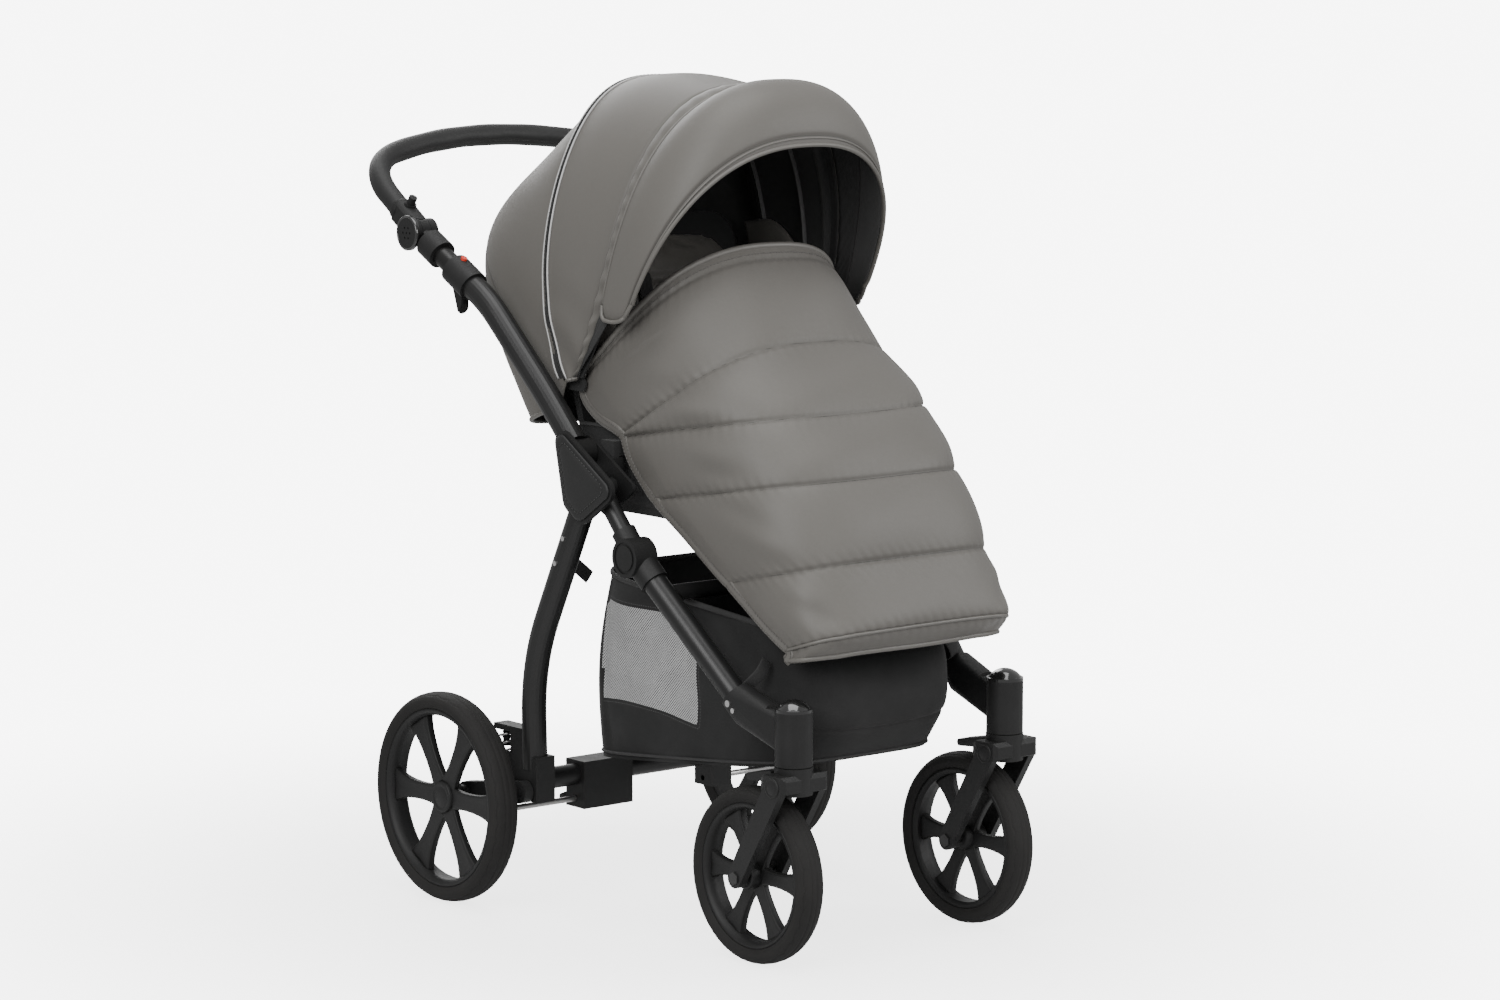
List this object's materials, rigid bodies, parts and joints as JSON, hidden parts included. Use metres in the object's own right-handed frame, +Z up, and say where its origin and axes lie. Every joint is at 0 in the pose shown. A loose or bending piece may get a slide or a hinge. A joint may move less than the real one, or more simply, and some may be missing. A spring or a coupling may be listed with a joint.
{
  "type": "baby stroller",
  "caption": "Four-wheel folding baby stroller with a quilted footmuff, hooded seat, shopping basket, swivel front wheels and a tilting handle.",
  "frame": {"origin": "on the ground, midway between the front-most and rear-most points, on the middle plane", "axes": "+X to the child's left, +Y to the handle, +Z up"},
  "size_m": [0.61, 0.9697, 1.132],
  "materials": {
    "tube": "satin black powder coat",
    "plastic": "matte moulded black",
    "gloss": "gloss black",
    "rivet": "polished",
    "steel": "bright zinc",
    "black_leather": "grained",
    "basket": "woven",
    "red": "moulded red",
    "grip": "padded grain",
    "rim": "moulded",
    "tyre": "moulded rubber",
    "grey_leather": "soft satin grey",
    "seat_fabric": "woven black"
  },
  "bodies": {
    "chassis": {"front_tubes": "tube", "castor_housings": "plastic", "castor_caps": "gloss", "chassis_rivets": "rivet", "front_crossbar": "tube", "fold_discs": "plastic", "short_tubes": "tube", "hub_shells": "plastic", "hub_covers": "black_leather", "hub_pins": "steel", "seat_sockets": "plastic", "basket": "basket"},
    "handle_frame": {"upper_tubes": "tube", "inner_tubes": "tube", "lower_joints": "plastic"},
    "lock_right": {"lock_collar_right": "plastic"},
    "lock_left": {"lock_collar_left": "plastic"},
    "button": {"release_button": "red"},
    "handlebar": {"handle_tubes": "tube", "handle_grip": "grip", "upper_joints": "plastic", "tilt_knobs": "plastic", "accessory_studs": "plastic"},
    "rear_frame": {"rear_legs": "tube", "leg_rivets": "rivet", "rear_crossbar": "tube", "brake_housing": "plastic", "leg_brackets": "plastic", "spring_right": "steel", "spring_left": "steel"},
    "pedal": {"brake_pedal": "plastic"},
    "rod_right": {"brake_rod_right": "steel"},
    "rod_left": {"brake_rod_left": "steel"},
    "arm_right": {"axle_arm_right": "plastic"},
    "arm_left": {"axle_arm_left": "plastic"},
    "rear_wheel_right": {"rear_rim_right": "rim", "rear_tyre_right": "tyre"},
    "rear_wheel_left": {"rear_rim_left": "rim", "rear_tyre_left": "tyre"},
    "castor_right": {"fork_right": "plastic", "axle_bolt_right": "steel"},
    "castor_left": {"fork_left": "plastic", "axle_bolt_left": "steel"},
    "swivel_catch_right": {"swivel_lock_right": "plastic"},
    "swivel_catch_left": {"swivel_lock_left": "plastic"},
    "front_wheel_right": {"front_rim_right": "rim", "front_tyre_right": "tyre"},
    "front_wheel_left": {"front_rim_left": "rim", "front_tyre_left": "tyre"},
    "seat": {"seat_shell": "seat_fabric", "seat_pad": "grey_leather", "footmuff": "grey_leather"},
    "leg_board": {"footrest": "seat_fabric"},
    "back": {"backrest": "seat_fabric", "back_pad": "grey_leather", "canopy_rear": "grey_leather"},
    "hood_back": {"canopy_bow": "plastic", "canopy_mid": "grey_leather"},
    "hood_front": {"canopy_front_bow": "plastic", "canopy_visor": "grey_leather"}
  },
  "joints": [
    {"name": "fold", "type": "hinge", "parent": "chassis", "child": "handle_frame", "pos_m": [0, -0.05055, 0.64], "axis": [1, 0, 0], "range_deg": [0, 140]},
    {"name": "rear_fold", "type": "hinge", "parent": "chassis", "child": "rear_frame", "pos_m": [0, -0.06855, 0.588], "axis": [1, 0, 0], "range_deg": [-34.5, 0]},
    {"name": "lock_pull_right", "type": "slide", "parent": "handle_frame", "child": "lock_right", "axis": [-0.0462, 0.8651, 0.4995], "range_m": [0, 0.016], "stiffness_N_per_m": 350, "springref_m": -0.004},
    {"name": "lock_pull_left", "type": "slide", "parent": "handle_frame", "child": "lock_left", "axis": [0.0462, 0.8651, 0.4995], "range_m": [0, 0.016], "stiffness_N_per_m": 350, "springref_m": -0.004},
    {"name": "release_press", "type": "slide", "parent": "lock_right", "child": "button", "axis": [0, 0.5, -0.866], "range_m": [0, 0.0015], "stiffness_N_per_m": 400, "springref_m": -0.001},
    {"name": "handle_tilt", "type": "hinge", "parent": "handle_frame", "child": "handlebar", "pos_m": [0, 0.28645, 0.913], "axis": [1, 0, 0], "range_deg": [-45, 45]},
    {"name": "pedal_press", "type": "hinge", "parent": "rear_frame", "child": "pedal", "pos_m": [0, 0.10145, 0.146], "axis": [1, 0, 0], "range_deg": [-18, 0]},
    {"name": "brake_pin_right", "type": "slide", "parent": "rear_frame", "child": "rod_right", "axis": [-1, 0, 0], "range_m": [0, 0.012]},
    {"name": "brake_pin_left", "type": "slide", "parent": "rear_frame", "child": "rod_left", "axis": [1, 0, 0], "range_m": [0, 0.012]},
    {"name": "suspension_right", "type": "hinge", "parent": "rear_frame", "child": "arm_right", "pos_m": [0, 0.05945, 0.166], "axis": [1, 0, 0], "range_deg": [0, 5], "stiffness_Nm_per_rad": 80, "springref_deg": -8.59, "deforming": ["spring_right"]},
    {"name": "rear_wheel_spin_right", "type": "hinge", "parent": "arm_right", "child": "rear_wheel_right", "pos_m": [0, 0.18445, 0.145], "axis": [1, 0, 0], "continuous": true},
    {"name": "castor_swivel_right", "type": "hinge", "parent": "chassis", "child": "castor_right", "pos_m": [-0.1825, -0.43855, 0.3], "axis": [0, 0, 1], "continuous": true},
    {"name": "swivel_catch_lift_right", "type": "hinge", "parent": "castor_right", "child": "swivel_catch_right", "pos_m": [0, -0.40755, 0.254], "axis": [1, 0, 0], "range_deg": [0, 20]},
    {"name": "front_wheel_spin_right", "type": "hinge", "parent": "castor_right", "child": "front_wheel_right", "pos_m": [0, -0.36555, 0.1165], "axis": [1, 0, 0], "continuous": true},
    {"name": "suspension_left", "type": "hinge", "parent": "rear_frame", "child": "arm_left", "pos_m": [0, 0.05945, 0.166], "axis": [1, 0, 0], "range_deg": [0, 5], "stiffness_Nm_per_rad": 80, "springref_deg": -8.59, "deforming": ["spring_left"]},
    {"name": "rear_wheel_spin_left", "type": "hinge", "parent": "arm_left", "child": "rear_wheel_left", "pos_m": [0, 0.18445, 0.145], "axis": [1, 0, 0], "continuous": true},
    {"name": "castor_swivel_left", "type": "hinge", "parent": "chassis", "child": "castor_left", "pos_m": [0.1825, -0.43855, 0.3], "axis": [0, 0, 1], "continuous": true},
    {"name": "swivel_catch_lift_left", "type": "hinge", "parent": "castor_left", "child": "swivel_catch_left", "pos_m": [0, -0.40755, 0.254], "axis": [1, 0, 0], "range_deg": [0, 20]},
    {"name": "front_wheel_spin_left", "type": "hinge", "parent": "castor_left", "child": "front_wheel_left", "pos_m": [0, -0.36555, 0.1165], "axis": [1, 0, 0], "continuous": true},
    {"name": "seat_lift", "type": "slide", "parent": "chassis", "child": "seat", "axis": [0, 0, 1], "range_m": [0, 0.05]},
    {"name": "footrest_tilt", "type": "hinge", "parent": "seat", "child": "leg_board", "pos_m": [0, -0.26355, 0.56], "axis": [1, 0, 0], "range_deg": [-18, 0]},
    {"name": "recline", "type": "hinge", "parent": "seat", "child": "back", "pos_m": [0, 0.00445, 0.606], "axis": [1, 0, 0], "range_deg": [-35, 0]},
    {"name": "canopy_fold", "type": "hinge", "parent": "back", "child": "hood_back", "pos_m": [0, -0.00255, 0.724], "axis": [1, 0, 0], "range_deg": [-40, 0], "deforming": ["canopy_rear"]},
    {"name": "canopy_front_fold", "type": "hinge", "parent": "hood_back", "child": "hood_front", "pos_m": [0, -0.00255, 0.724], "axis": [1, 0, 0], "range_deg": [-26.5, 0], "deforming": ["canopy_mid"]}
  ],
  "couplings": [
    {"joint": "rear_fold", "follows": "fold", "ratio": -0.24286},
    {"joint": "brake_pin_right", "follows": "pedal_press", "m_per_rad": -0.037433},
    {"joint": "brake_pin_left", "follows": "pedal_press", "m_per_rad": -0.037433},
    {"joint": "canopy_front_fold", "follows": "canopy_fold", "ratio": 0.65}
  ]
}
